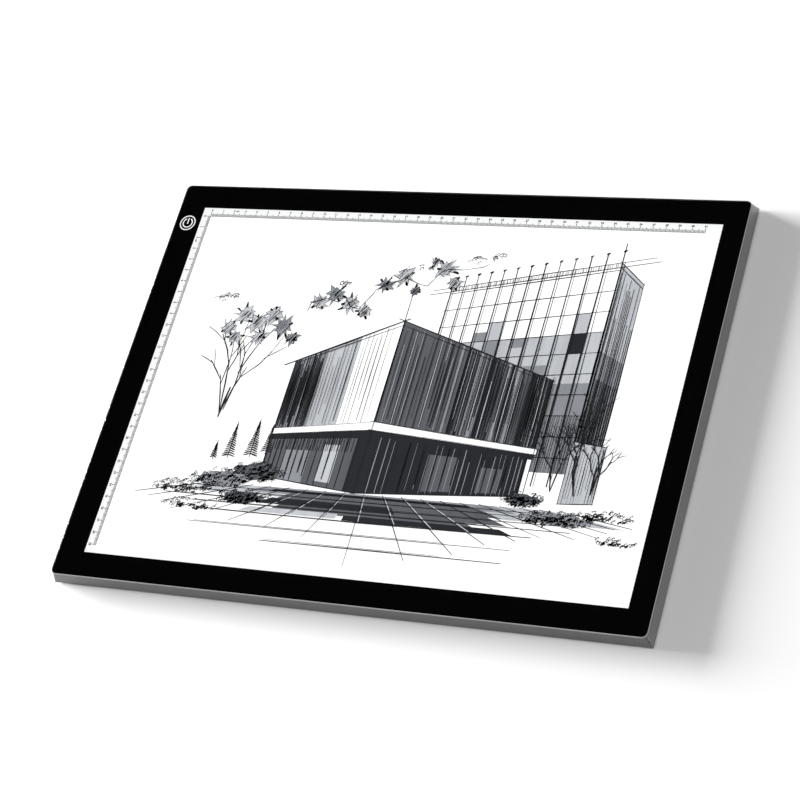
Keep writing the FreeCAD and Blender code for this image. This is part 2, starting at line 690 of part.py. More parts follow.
def make_optical_nodes():
    save("diffuser_film", diffuser_film())
    save("diffuser_plate", diffuser_plate())
    save("light_guide", light_guide())
    save("edge_reflector_left", edge_reflector_left())
    save("edge_reflector_right", edge_reflector_right())
    save("reflector_sheet", inset_slab(SHEET_INSET, REFLECTOR_BOTTOM, GUIDE_BOTTOM, GUIDE_INSET_LEFT))
    save("backing_foam", inset_slab(SHEET_INSET, FOAM_BOTTOM, REFLECTOR_BOTTOM, GUIDE_INSET_LEFT))
    for name, side in (("front", -1), ("rear", 1)):
        save("led_board_" + name, led_board(side))
        save("led_chips_" + name, led_chips(side))


def make_board_nodes():
    save("control_board", control_board())
    save("board_pad", board_pad())
    save("driver_chip", driver_chip())
    save("inductor", inductor())
    save("chip_capacitors", chip_capacitors())
    save("chip_resistors", chip_resistors())
    save("lead_connectors", lead_connectors())
    save("touch_spring", touch_spring())
    save("dc_socket_body", dc_socket_body())
    save("dc_socket_pin", dc_socket_pin())
    for name, side in (("front", -1), ("rear", 1)):
        save("lead_" + name + "_red", strip_lead(side, 1, RED_LEAD_END))
        save("lead_" + name + "_black", strip_lead(side, -1, BLACK_LEAD_END))


def make_housing_nodes():
    make_rails()
    for name, sign_x, sign_y in CORNERS:
        save("corner_bracket_" + name, corner_bracket(sign_x, sign_y))
    save("rear_plate", rear_plate())
    spots = [(x, y) for y in FOOT_YS for x in FOOT_XS]
    for number, (x, y) in enumerate(spots, start=1):
        save("foot_" + str(number), foot(x, y))


def make_fastener_nodes():
    bracket_seat = GUIDE_BOTTOM + BRACKET_THICKNESS
    tip = FOAM_BOTTOM + SCREW_TIP_GAP
    screws = []
    for _, sign_x, sign_y in CORNERS:
        for x, y in bracket_screw_places(sign_x, sign_y):
            screws.append(pan_screw(x, y, bracket_seat, tip))
    save("bracket_screws", Part.makeCompound(screws))
    places = board_screw_places()
    save("board_screws", Part.makeCompound([pan_screw(x, y, BOARD_TOP, tip) for x, y in places]))
    save("rear_plate_screws", Part.makeCompound([countersunk_screw(x, y) for x, y in rear_screw_places()]))


make_panel_nodes()
make_optical_nodes()
make_board_nodes()
make_housing_nodes()
make_fastener_nodes()
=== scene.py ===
import cmath
import functools
import json
import math
import random

import bmesh
import bpy
from mathutils import Matrix, Vector


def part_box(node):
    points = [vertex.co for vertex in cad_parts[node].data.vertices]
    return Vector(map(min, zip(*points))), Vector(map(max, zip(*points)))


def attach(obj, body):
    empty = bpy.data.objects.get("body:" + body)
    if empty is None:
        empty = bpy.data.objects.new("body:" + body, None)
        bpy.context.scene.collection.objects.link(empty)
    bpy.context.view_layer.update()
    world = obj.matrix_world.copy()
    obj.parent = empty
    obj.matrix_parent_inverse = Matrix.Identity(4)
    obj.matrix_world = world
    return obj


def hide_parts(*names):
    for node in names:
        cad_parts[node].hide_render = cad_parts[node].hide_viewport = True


bl_info = {
    "name": "Tracing light box",
    "version": (1, 0, 0),
    "blender": (4, 5, 0),
    "location": "3D View > Sidebar > Light box",
    "description": "Finishes the light box: soft edges, ruler numbers, a sketch on the lit face "
                   "and its stage",
    "category": "Add Mesh",
}

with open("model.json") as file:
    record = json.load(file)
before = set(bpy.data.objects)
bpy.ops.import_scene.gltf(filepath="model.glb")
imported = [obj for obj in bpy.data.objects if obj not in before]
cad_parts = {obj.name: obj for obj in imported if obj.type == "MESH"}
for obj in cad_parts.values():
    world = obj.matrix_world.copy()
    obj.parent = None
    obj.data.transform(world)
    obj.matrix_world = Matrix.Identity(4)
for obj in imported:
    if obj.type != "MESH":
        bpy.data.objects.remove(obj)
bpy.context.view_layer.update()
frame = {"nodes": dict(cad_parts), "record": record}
NODES = frame["nodes"]
MM = 0.001

RULER_LINE = 0.2 * MM
RULER_OFFSET = 7.7 * MM
LEVEL_STEP = 0.005 * MM
FILM_DEPTH = 0.004 * MM

# The tones of the sketch, each with a material slot name.
TONES = {
    "white": "sheet_white",
    "pale": "ink_grey",
    "cool": "ink_grey",
    "slate": "ink_grey",
    "dark": "ink_black",
    "ink": "ink_black",
}

# Places read from the CAD nodes, in metres.
PANEL_LOW, PANEL_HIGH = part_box("front_panel")
PRINT_LOW, PRINT_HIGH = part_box("ruler_scale_top")
LEFT_SCALE_LOW, LEFT_SCALE_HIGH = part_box("ruler_scale_left")
FILM_LOW, FILM_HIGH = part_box("diffuser_film")
WINDOW_LEFT = LEFT_SCALE_HIGH.x - RULER_LINE - RULER_OFFSET
WINDOW_REAR = PRINT_LOW.y + RULER_LINE + RULER_OFFSET


# Shader maths and node building

class Value:
    """A socket of a material that can be used in Python arithmetic."""

    def __init__(self, paint, socket):
        self.paint = paint
        self.socket = socket

    def maths(self, operation, first, second=0.0):
        return self.paint.maths(operation, first, second)

    def __add__(self, other):
        return self.maths("ADD", self, other)

    def __sub__(self, other):
        return self.maths("SUBTRACT", self, other)

    def __rsub__(self, other):
        return self.maths("SUBTRACT", other, self)

    def __mul__(self, other):
        return self.maths("MULTIPLY", self, other)

    def __truediv__(self, other):
        return self.maths("DIVIDE", self, other)

    def __rtruediv__(self, other):
        return self.maths("DIVIDE", other, self)

    def __mod__(self, other):
        return self.maths("FLOORED_MODULO", self, other)

    def __abs__(self):
        return self.maths("ABSOLUTE", self)

    def __lt__(self, other):
        return self.maths("LESS_THAN", self, other)

    def __gt__(self, other):
        return self.maths("GREATER_THAN", self, other)

    __radd__ = __add__
    __rmul__ = __mul__


class Paint:
    """The nodes of one material, or of the world."""

    def __init__(self, name, world=None):
        self.material = world or bpy.data.materials.new(name + "_finish")
        self.material.use_nodes = True
        self.tree = self.material.node_tree
        self.tree.nodes.clear()

    def connect(self, socket, value):
        if isinstance(value, Value):
            self.tree.links.new(value.socket, socket)
        else:
            socket.default_value = value

    def node(self, kind, settings=None, sockets=None, output=0):
        """Adds a node: its settings first, then the values or links of its sockets."""
        node = self.tree.nodes.new(kind)
        for name, value in (settings or {}).items():
            if name == "stops":
                set_stops(node.color_ramp, value)
            else:
                setattr(node, name, value)
        for key, value in (sockets or {}).items():
            self.connect(node.inputs[key], value)
        return Value(self, node.outputs[output])

    def maths(self, operation, first, second=0.0):
        return self.node("ShaderNodeMath", {"operation": operation}, {0: first, 1: second})

    def place(self, scale=(1, 1, 1)):
        """Object coordinates, stretched by scale."""
        coordinates = self.node("ShaderNodeTexCoord", output="Object")
        return self.node("ShaderNodeMapping", {}, {"Vector": coordinates, "Scale": scale})

    def axes(self, kind="ShaderNodeTexCoord", output="Object"):
        """A vector as three numbers: Object coordinates unless another node is named."""
        vector = self.node(kind, output=output)
        split = self.node("ShaderNodeSeparateXYZ", {}, {0: vector})
        outputs = split.socket.node.outputs
        return [Value(self, outputs[index]) for index in range(3)]

    def noise(self, scale, stretch=(1, 1, 1), detail=3.0, roughness=0.5):
        sockets = {"Vector": self.place(stretch), "Scale": scale, "Detail": detail, "Roughness": roughness}
        return self.node("ShaderNodeTexNoise", {}, sockets)

    def cells(self, scale, stretch=(1, 1, 1)):
        return self.node("ShaderNodeTexVoronoi", {}, {"Vector": self.place(stretch), "Scale": scale})

    def between(self, factor, low, high):
        """A number that runs from low to high as factor runs from 0 to 1."""
        return low + factor * (high - low)

    def mix(self, factor, first, second):
        """A colour between two colours."""
        settings = {"data_type": "RGBA", "clamp_factor": True}
        return self.node("ShaderNodeMix", settings, {0: factor, 6: first, 7: second}, output=2)

    def bump(self, height, strength, distance):
        return self.node("ShaderNodeBump", {}, {"Height": height, "Strength": strength, "Distance": distance})

    def principled(self, **sockets):
        named = {key.replace("_", " "): value for key, value in sockets.items()}
        return self.node("ShaderNodeBsdfPrincipled", {}, named)

    def finish(self, shader, kind="ShaderNodeOutputMaterial"):
        output = self.tree.nodes.new(kind)
        self.connect(output.inputs["Surface"], shader)
        return self.material


def set_stops(ramp, stops):
    while len(ramp.elements) < len(stops):
        ramp.elements.new(0.5)
    for element, (position, colour) in zip(ramp.elements, stops):
        element.position = position
        element.color = colour


def grey(level, alpha=1.0):
    return (level, level, level, alpha)


# Finishes, one for each material slot of the record

def acrylic_clear():
    """Polished clear acrylic with milled, slightly frosted edges.

    Only the outer face is glossy. Light leaves the inner one unbent here, so gloss there would
    mirror all of it at a slant.
    """
    paint = Paint("acrylic_clear")
    smudge = paint.noise(9.0, detail=5.0)
    gloss = paint.node("ShaderNodeBsdfAnisotropic", {"distribution": "GGX"}, {
        "Color": grey(1.0), "Roughness": paint.between(smudge, 0.02, 0.07)})
    clear = paint.node("ShaderNodeBsdfTransparent", {}, {"Color": grey(1.0)})
    fresnel = paint.node("ShaderNodeFresnel", {}, {"IOR": 1.49})
    outer = paint.axes()[2] > (PANEL_LOW.z + PANEL_HIGH.z) / 2
    face = paint.node("ShaderNodeMixShader", {}, {0: outer * fresnel, 1: clear, 2: gloss})
    saw = paint.noise(60.0, stretch=(1, 1, 40), detail=4.0)
    up = abs(paint.axes("ShaderNodeNewGeometry", "True Normal")[2])
    sawn = paint.mix(saw, grey(0.13), grey(0.2))
    # Faces tilted upward, the chamfer, get a light grey: a painted highlight along the panel's edge.
    edge = paint.principled(
        Base_Color=paint.mix(up > 0.3, sawn, grey(0.5)),
        Roughness=paint.between(saw, 0.3, 0.5),
        Normal=paint.bump(saw, 0.1, 0.0001))
    return paint.finish(paint.node("ShaderNodeMixShader", {}, {0: up < 0.97, 1: face, 2: edge}))


def ink(name, light, dark, grain):
    """Screen-printed ink: nearly even, with a faint mesh of fine grain."""
    paint = Paint(name)
    speckle = paint.noise(grain, detail=2.0)
    return paint.finish(paint.principled(
        Base_Color=paint.mix(speckle, dark, light),
        Roughness=paint.between(speckle, 0.45, 0.6),
        Specular_IOR_Level=0.0))


def ink_black():
    return ink("ink_black", grey(0.0035), grey(0.002), 2500.0)


def ink_grey():
    return ink("ink_grey", grey(0.022), grey(0.012), 2500.0)


def ink_white():
    """White ink with a painted glow: its emission stands in for a little light from the lamp behind it."""
    paint = Paint("ink_white")
    speckle = paint.noise(2500.0, detail=2.0)
    return paint.finish(paint.principled(
        Base_Color=paint.mix(speckle, grey(0.8), grey(0.9)),
        Roughness=paint.between(speckle, 0.4, 0.55),
        Emission_Color=paint.mix(speckle, grey(0.9), grey(1.0)),
        Emission_Strength=0.7))


def film_white():
    """The lit face: opal film over the guide, a touch bluer and dimmer towards the two lamp edges."""
    paint = Paint("film_white")
    along_y = paint.axes()[1]
    half_width = FILM_HIGH.y
    edge_glow = abs(along_y) / half_width
    fine = paint.noise(900.0, detail=2.0)
    glow = paint.mix(edge_glow * 0.5 + fine * 0.2, (1.0, 1.0, 1.0, 1.0), (0.97, 0.985, 1.0, 1.0))
    return paint.finish(paint.principled(
        Base_Color=paint.mix(fine, grey(0.13), grey(0.17)),
        Roughness=paint.between(fine, 0.5, 0.6),
        Emission_Color=glow,
        Emission_Strength=0.95))


def translucent_sheet(name, low, high, grain, rough, bump=0.05):
    """A plain moulded or cast sheet with a fine grain."""
    paint = Paint(name)
    fine = paint.noise(grain, detail=3.0)
    return paint.finish(paint.principled(
        Base_Color=paint.mix(fine, low, high),
        Roughness=paint.between(fine, rough, rough + 0.12),
        Normal=paint.bump(fine, bump, 0.0001)))


def diffuser_white():
    return translucent_sheet("diffuser_white", grey(0.82), grey(0.88), 700.0, 0.3)


def guide_clear():
    """Clear acrylic with the grid of small extraction dots that carries light out of its face."""
    paint = Paint("guide_clear")
    x, y, _ = paint.axes()
    pitch = 2.5 * MM
    across = x % pitch - pitch / 2
    along = y % pitch - pitch / 2
    dot = (across * across + along * along) < (0.6 * MM) ** 2
    return paint.finish(paint.principled(
        Base_Color=paint.mix(dot, (0.78, 0.84, 0.84, 1.0), (0.93, 0.95, 0.95, 1.0)),
        Roughness=paint.between(dot, 0.08, 0.6),
        Coat_Weight=0.3))


def sheet_white():
    return translucent_sheet("sheet_white", grey(0.83), grey(0.9), 1200.0, 0.25)


def lit_paper():
    """Paper lit from behind, painted as a glow: its emission stands in for the light through it. White, with
    faint clouds of fibre.
    """
    paint = Paint("paper")
    fibre = paint.noise(260.0, stretch=(1, 0.6, 1), detail=5.0)
    return paint.finish(paint.principled(
        Base_Color=paint.mix(fibre, grey(0.3), grey(0.36)),
        Roughness=paint.between(fibre, 0.8, 0.95),
        Specular_IOR_Level=0.1,
        Emission_Color=paint.mix(fibre, grey(0.92), grey(1.0)),
        Emission_Strength=0.8))


def marker(name, colour, spread=0.25):
    """Marker ink on paper, streaked by the tip."""
    paint = Paint(name)
    streak = paint.noise(130.0, stretch=(1.0, 0.12, 1.0), detail=4.0)
    light = tuple(channel * (1 + spread) for channel in colour)
    dark = tuple(channel * (1 - spread) for channel in colour)
    return paint.finish(paint.principled(
        Base_Color=paint.mix(streak, (*dark, 1.0), (*light, 1.0)),
        Roughness=paint.between(streak, 0.75, 0.95),
        Specular_IOR_Level=0.05))


def foam(name, low, high):
    """Closed-cell foam: small cells in colour and bump."""
    paint = Paint(name)
    cell = paint.cells(1400.0)
    return paint.finish(paint.principled(
        Base_Color=paint.mix(cell * 1.3, low, high),
        Roughness=paint.between(cell, 0.8, 0.95),
        Normal=paint.bump(cell, 0.4, 0.0002)))


def foam_grey():
    return foam("foam_grey", grey(0.07), grey(0.14))


def foam_black():
    return foam("foam_black", grey(0.006), grey(0.02))


# Half the width of the dark line where two rails meet at a corner.
MITRE_SEAM = 0.3 * MM


def rail_grey(name, stretch, painted_brightness):
    """Satin anodised aluminium with fine drawing lines along the rail."""
    paint = Paint(name)
    x, y, _ = paint.axes()
    seam = abs((abs(x) - PANEL_HIGH.x) - (abs(y) - PANEL_HIGH.y)) < MITRE_SEAM
    lines = paint.noise(55.0, stretch=stretch, detail=6.0, roughness=0.7)
    cloud = paint.noise(14.0, detail=2.0)
    # The greys are scaled per rail: painted light, lighter on the two short rails and darker on the long
    # ones, though all four are one aluminium.
    tone = paint.mix(lines, grey(0.15 * painted_brightness), grey(0.235 * painted_brightness))
    face = paint.mix(cloud * 0.25, tone, grey(0.17 * painted_brightness))
    return paint.finish(paint.principled(
        Base_Color=paint.mix(seam, face, grey(0.008)),
        Metallic=1.0,
        Roughness=paint.between(lines * 0.7 + cloud * 0.3, 0.34, 0.52),
        Normal=paint.bump(lines, 0.12, 0.00005)))


# Long rails painted darker, short rails painted lighter: painted light and shade on one aluminium.
def rail_grey_long():
    return rail_grey("rail_grey_long", (0.12, 30.0, 30.0), 0.84)


def rail_grey_short():
    return rail_grey("rail_grey_short", (30.0, 0.12, 30.0), 1.5)


def plate_grey():
    """Rear plate: a fine leathery powder texture."""
    paint = Paint("plate_grey")
    grain = paint.noise(1100.0, detail=4.0, roughness=0.6)
    cloud = paint.noise(11.0, detail=3.0)
    return paint.finish(paint.principled(
        Base_Color=paint.mix(grain * 0.7 + cloud * 0.3, grey(0.075), grey(0.115)),
        Roughness=paint.between(grain, 0.5, 0.68),
        Normal=paint.bump(grain, 0.35, 0.00015)))


def bright_metal(name, low, high, rough, scale=900.0, stretch=(1, 1, 1)):
    """Bare or plated metal with a fine mottled grain."""
    paint = Paint(name)
    grain = paint.noise(scale, stretch=stretch, detail=4.0)
    return paint.finish(paint.principled(
        Base_Color=paint.mix(grain, low, high),
        Metallic=1.0,
        Roughness=paint.between(grain, rough, rough + 0.18),
        Normal=paint.bump(grain, 0.08, 0.00005)))


def steel_zinc():
    return bright_metal("steel_zinc", (0.55, 0.56, 0.58, 1.0), (0.72, 0.73, 0.74, 1.0), 0.28)


def screw_black():
    return bright_metal("screw_black", grey(0.02), grey(0.05), 0.35, scale=2200.0)


def spring_steel():
    return bright_metal("spring_steel", grey(0.6), grey(0.75), 0.15, scale=2000.0)


def pin_plated():
    return bright_metal("pin_plated", (0.68, 0.63, 0.5, 1.0), (0.8, 0.76, 0.64, 1.0), 0.16, scale=2000.0)


def moulded(name, low, high, rough, grain=1600.0, bump=0.12):
    """Moulded plastic, rubber or epoxy with a fine spark texture."""
    paint = Paint(name)
    fine = paint.noise(grain, detail=3.0, roughness=0.6)
    return paint.finish(paint.principled(
        Base_Color=paint.mix(fine, low, high),
        Roughness=paint.between(fine, rough, rough + 0.15),
        Normal=paint.bump(fine, bump, 0.0001)))


def rubber_black():
    return moulded("rubber_black", grey(0.012), grey(0.026), 0.6, grain=1300.0, bump=0.3)


def chip_black():
    return moulded("chip_black", grey(0.015), grey(0.03), 0.45)


def capacitor_tan():
    return moulded("capacitor_tan", (0.30, 0.19, 0.10, 1.0), (0.42, 0.29, 0.17, 1.0), 0.35)


def connector_white():
    return moulded("connector_white", (0.68, 0.66, 0.60, 1.0), (0.78, 0.76, 0.70, 1.0), 0.3)


def socket_black():
    return moulded("socket_black", grey(0.012), grey(0.022), 0.35)


def wire_red():
    return moulded("wire_red", (0.42, 0.008, 0.008, 1.0), (0.55, 0.02, 0.015, 1.0), 0.3)


def wire_black():
    return moulded("wire_black", grey(0.01), grey(0.02), 0.3)


def strip_white():
    """Light strip board: white mask with a pair of tinned pads between the lamps."""
    paint = Paint("strip_white")
    x, _, z = paint.axes()
    pitch = 30.0 * MM
    middle = NODES_MIDDLE["led_board_front"].z
    across = abs(x % pitch - pitch / 2) < 1.0 * MM
    height = abs(abs(z - middle) - 1.6 * MM) < 0.7 * MM
    pad = across * height
    fine = paint.noise(1500.0, detail=2.0)
    white = paint.mix(fine, grey(0.78), grey(0.85))
    return paint.finish(paint.principled(
        Base_Color=paint.mix(pad, white, (0.62, 0.6, 0.55, 1.0)),
        Metallic=pad,
        Roughness=paint.between(fine, 0.3, 0.42)))


def led_yellow():
    """Lamp packages: a white rim round a yellow phosphor face."""
    paint = Paint("led_yellow")
    x, _, z = paint.axes()
    pitch = 10.0 * MM
    middle = NODES_MIDDLE["led_chips_front"].z
    inside = (abs((x + pitch / 2) % pitch - pitch / 2) < 1.35 * MM) * (abs(z - middle) < 1.0 * MM)
    fine = paint.noise(2500.0, detail=2.0)
    yellow = paint.mix(fine, (0.85, 0.62, 0.08, 1.0), (0.95, 0.75, 0.16, 1.0))
    return paint.finish(paint.principled(
        Base_Color=paint.mix(inside, grey(0.85), yellow),
        Roughness=paint.between(inside, 0.5, 0.25),
        Emission_Color=paint.mix(inside, grey(0.0), (1.0, 0.93, 0.8, 1.0)),
        Emission_Strength=2.0))


def board_green():
    """Circuit board: green mask with a lighter web of tracks under it."""
    paint = Paint("board_green")
    x, y, _ = paint.axes()
    pitch = 1.8 * MM
    jog = paint.noise(160.0, detail=0.0) * 4.0 * MM
    track = ((x + jog) % pitch < 0.5 * MM) * ((y % (14.0 * MM)) > 3.0 * MM)
    fine = paint.noise(1800.0, detail=2.0)
    green = paint.mix(fine, (0.008, 0.075, 0.03, 1.0), (0.012, 0.1, 0.04, 1.0))
    return paint.finish(paint.principled(
        Base_Color=paint.mix(track, green, (0.03, 0.19, 0.08, 1.0)),
        Roughness=paint.between(fine, 0.22, 0.35),
        Normal=paint.bump(track, 0.2, 0.00005)))


def middle_of(node):
    low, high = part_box(node)
    return (low + high) / 2


NODES_MIDDLE = {name: middle_of(name) for name in ("led_board_front", "led_chips_front")}

FINISHES = {
    "paper": lit_paper,
    "sketch_white": lit_paper,
    "sketch_pale": lambda: marker("marker_pale", (0.43, 0.445, 0.47)),
    "sketch_cool": lambda: marker("marker_cool", (0.215, 0.225, 0.245)),
    "sketch_slate": lambda: marker("marker_slate", (0.085, 0.09, 0.1)),
    "sketch_dark": lambda: marker("marker_dark", (0.014, 0.015, 0.018)),
    "sketch_ink": lambda: marker("pen_black", (0.012, 0.013, 0.015)),
    "acrylic_clear": acrylic_clear,
    "ink_black": ink_black,
    "ink_white": ink_white,
    "ink_grey": ink_grey,
    "film_white": film_white,
    "diffuser_white": diffuser_white,
    "guide_clear": guide_clear,
    "sheet_white": sheet_white,
    "foam_grey": foam_grey,
    "foam_black": foam_black,
    "rail_grey": rail_grey_long,
    "rail_grey_short": rail_grey_short,
    "plate_grey": plate_grey,
    "steel_zinc": steel_zinc,
    "screw_black": screw_black,
    "rubber_black": rubber_black,
    "strip_white": strip_white,
    "led_yellow": led_yellow,
    "board_green": board_green,
    "chip_black": chip_black,
    "capacitor_tan": capacitor_tan,
    "connector_white": connector_white,
    "socket_black": socket_black,
    "pin_plated": pin_plated,
    "spring_steel": spring_steel,
    "wire_red": wire_red,
    "wire_black": wire_black,
}
SLOT_OF = {part["node"]: part["material_slot"] for part in frame["record"]["subparts"]}


@functools.cache
def finish(name):
    """The material of a finish, made once."""
    return FINISHES[name]()


def finish_for(node):
    """The finish of a node's slot. The two short rails have their grain turned along Y, and their grey is
    painted lighter than the long rails': painted light.
    """
    if node in ("rail_left", "rail_right"):
        return finish("rail_grey_short")
    return finish(SLOT_OF[node])


def dress(piece, material):
    piece.data.materials.clear()
    piece.data.materials.append(material)


# Mesh building

def piece_from(name, mesh_builder, material=None):
    """Makes an object at the origin from a bmesh and rides it on the box."""
    mesh = bpy.data.meshes.new(name)
    mesh_builder.normal_update()
    mesh_builder.to_mesh(mesh)
    mesh_builder.free()
    piece = bpy.data.objects.new(name, mesh)
    bpy.context.scene.collection.objects.link(piece)
    if material:
        dress(piece, material)
    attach(piece, "root")
    return piece


# Faces larger than this, or as level as this, are shaded flat.
# It is set last, because marking the sharp edges clears it.
FLAT_AREA = 100.0 * MM * MM
LEVEL = 0.9999


def softened(node, name, width, segments):
    """A copy of a CAD node with its sharp edges rounded, which stands for it."""
    builder = bmesh.new()
    builder.from_mesh(NODES[node].data)
    bmesh.ops.remove_doubles(builder, verts=builder.verts, dist=0.002 * MM)
    sharp = [edge for edge in builder.edges if edge.is_manifold and edge.calc_face_angle() > math.radians(35)]
    bmesh.ops.bevel(builder, geom=sharp, offset=width, offset_type="OFFSET", segments=segments, profile=0.5,
                    affect="EDGES", clamp_overlap=True, material=-1)
    bmesh.ops.remove_doubles(builder, verts=builder.verts, dist=0.001 * MM)
    piece = piece_from(name, builder, finish_for(node))
    piece.data.set_sharp_from_angle(angle=math.radians(30))
    for face in piece.data.polygons:
        face.use_smooth = face.area < FLAT_AREA and abs(face.normal.z) < LEVEL
    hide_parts(node)
    return piece


TYPE_WEIGHT = 0.03


def text_mesh(words, height):
    """Plain lettering as a flat mesh, centred on the origin."""
    curve = bpy.data.curves.new("label", "FONT")
    curve.body = words
    curve.size = height
    curve.align_x = "CENTER"
    curve.align_y = "CENTER"
    curve.resolution_u = 3
    curve.offset = height * TYPE_WEIGHT
    label = bpy.data.objects.new("label", curve)
    bpy.context.scene.collection.objects.link(label)
    bpy.context.view_layer.update()
    mesh = bpy.data.meshes.new_from_object(label.evaluated_get(bpy.context.evaluated_depsgraph_get()))
    bpy.data.objects.remove(label)
    bpy.data.curves.remove(curve)
    return mesh


# The sketch on the sheet. A place on the sheet is a complex number: millimetres to the right,
# and up times 1j.

HORIZON = -62.0
VIEW_DISTANCE = 300.0
EYE_HEIGHT = 1.6
PEN = 1.6
BOX_TURN = math.radians(40)
TOWER_TURN = math.radians(24)


def seen(x, depth, height):
    """Where a point in front of a standing viewer falls on the sheet. The arguments are in metres."""
    scale = VIEW_DISTANCE / depth
    return complex(x * scale, HORIZON + (height - EYE_HEIGHT) * scale)


def blend(first, second, share):
    return first + (second - first) * share


class Wall:
    """An upright wall, seen in perspective: along runs from 0 to 1 over its length."""

    def __init__(self, start, end):
        self.start = start
        self.end = end

    def at(self, along, height):
        foot = blend(self.start, self.end, along)
        return seen(foot.real, foot.imag, height)

    def patch(self, left, right, low, high):
        return [self.at(left, low), self.at(right, low), self.at(right, high), self.at(left, high)]


class Sketch:
    """Pen strokes and marker washes, from the back forwards: each wash covers what is under it."""

    def __init__(self, seed):
        self.random = random.Random(seed)
        self.marks = {tone: [] for tone in TONES}
        self.level = 0

    def spread(self, size):
        """A small random move across the sheet."""
        return complex(self.random.gauss(0, size), self.random.gauss(0, size))

    def stroke(self, points, width=0.45, tone="ink"):
        self.marks[tone].append((self.level, points, PEN * width * self.random.uniform(0.8, 1.25)))

    def line(self, start, end, width=0.45, over=1.2, tone="ink"):
        """A freehand straight line that runs a little past both ends."""
        way = (end - start) / max(abs(end - start), 0.01)
        first = start - way * self.random.uniform(0, over)
        last = end + way * self.random.uniform(0, over)
        bow = 1j * way * self.random.gauss(0, 0.0025) * abs(end - start)
        self.stroke([first, blend(first, last, 0.5) + bow, last], width, tone)

    def outline(self, corners, width=0.6, over=2.0):
        for start, end in zip(corners, corners[1:] + corners[:1]):
            self.line(start, end, width, over)

    def wash(self, tone, corners):
        self.level += 1
        self.marks[tone].append((self.level, corners, None))

    def uprights(self, wall, count, low, high, width, tone="ink", skip=0.0, start=0.0, end=1.0):
        """Upright lines on a wall; some stop short of its top or foot."""
        for number in range(count + 1):
            if self.random.random() < skip:
                continue
            along = blend(start, end, number / count) + self.random.gauss(0, 0.1 / count)
            top = high - self.random.random() ** 3 * (high - low) * 0.3
            foot = low + self.random.random() ** 4 * (high - low) * 0.3
            self.line(wall.at(along, foot), wall.at(along, top),
                      width * self.random.uniform(0.6, 1.3), 0.5, tone)

    def hatch(self, corners, count, width=0.25, tone="ink"):
        """Slanting lines that fill a patch of four corners."""
        for number in range(count):
            share = (number + self.random.random()) / count
            self.line(blend(corners[0], corners[1], share),
                      blend(corners[3], corners[2], share), width, 0.4, tone)

    def leaves(self, centre, size, spikes):
        """A spiky clump of leaves with a washed and hatched middle."""
        edge = []
        for number in range(2 * spikes):
            reach = size * (self.random.uniform(0.8, 1.45) if number % 2 else self.random.uniform(0.4, 0.8))
            turn = math.pi * (number + self.random.uniform(-0.5, 0.5)) / spikes
            edge.append(centre + cmath.rect(reach, turn))
        self.wash(self.random.choice(("pale", "pale", "cool")), edge)
        self.stroke(edge + edge[:1], 0.42)
        for _ in range(2 * spikes):
            place = centre + self.spread(size * 0.32)
            half = complex(1, 1.6) * size * self.random.uniform(0.1, 0.26)
            self.line(place - half, place + half, 0.26)
        for _ in range(3):
            tip = self.random.choice(edge[1::2])
            self.stroke([blend(centre, tip, 0.55), blend(centre, tip, 0.8) + self.spread(0.4), tip], 1.1)

    def scribble(self, centre, width, height, marks, size=2.2, pen=0.42):
        """Loose curled marks, as for grass and shrubs, within an oval."""
        for _ in range(marks):
            spot = cmath.rect(math.sqrt(self.random.random()), self.random.uniform(0, 2 * math.pi))
            place = centre + complex(spot.real * width, spot.imag * height)
            turn = self.random.uniform(-0.6, 0.6)
            points = [place + cmath.rect(size * self.random.uniform(0.5, 1.0), turn + step)
                      * (0.5 + 0.5 * (step % 2))
                      for step in (0, 1, 2.2, 3.2, 4.1)]
            self.stroke(points, pen)

    def branch(self, foot, way, length, width, forks):
        """A bare branch that forks."""
        tip = foot + way * length
        self.stroke([foot, blend(foot, tip, 0.5) + self.spread(length * 0.04), tip], width)
        if forks:
            for side in (-1, 1):
                bend = cmath.rect(1, side * self.random.uniform(0.15, 0.5))
                self.branch(blend(foot, tip, self.random.uniform(0.6, 1.0)), way * bend,
                            length * self.random.uniform(0.55, 0.85), width * 0.75, forks - 1)


